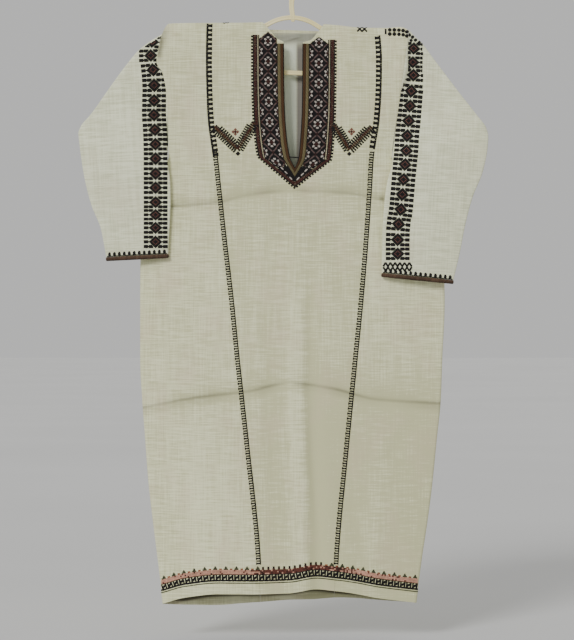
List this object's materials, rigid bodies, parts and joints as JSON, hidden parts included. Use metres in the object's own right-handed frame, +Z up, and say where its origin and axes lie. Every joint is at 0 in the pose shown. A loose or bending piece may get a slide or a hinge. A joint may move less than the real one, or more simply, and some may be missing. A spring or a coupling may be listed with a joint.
{
  "type": "folk shirt on a hanger",
  "caption": "Long folk shirt with embroidered bands, hung flat on a plain plastic hanger with a hook.",
  "frame": {"origin": "where a rod bears on the inside of the hanger's hook, midway front to back", "axes": "+Z up, along the shirt's length; the front faces -Y; +X is to the right of someone who looks at the front"},
  "size_m": [0.8204, 0.0686, 1.2897],
  "materials": {
    "linen": "handwoven undyed linen with fine uneven ribs",
    "edging": "matt brown wool stitching",
    "braid": "matt brown and khaki braid",
    "hanger": "cream moulded plastic"
  },
  "bodies": {
    "root": {"front": "linen", "back": "linen", "side_left": "linen", "side_right": "linen", "sleeve_left": "linen", "sleeve_right": "linen", "cuff_edging_left": "edging", "cuff_edging_right": "edging", "slit_braid": "braid", "hanger": "hanger"}
  },
  "joints": []
}
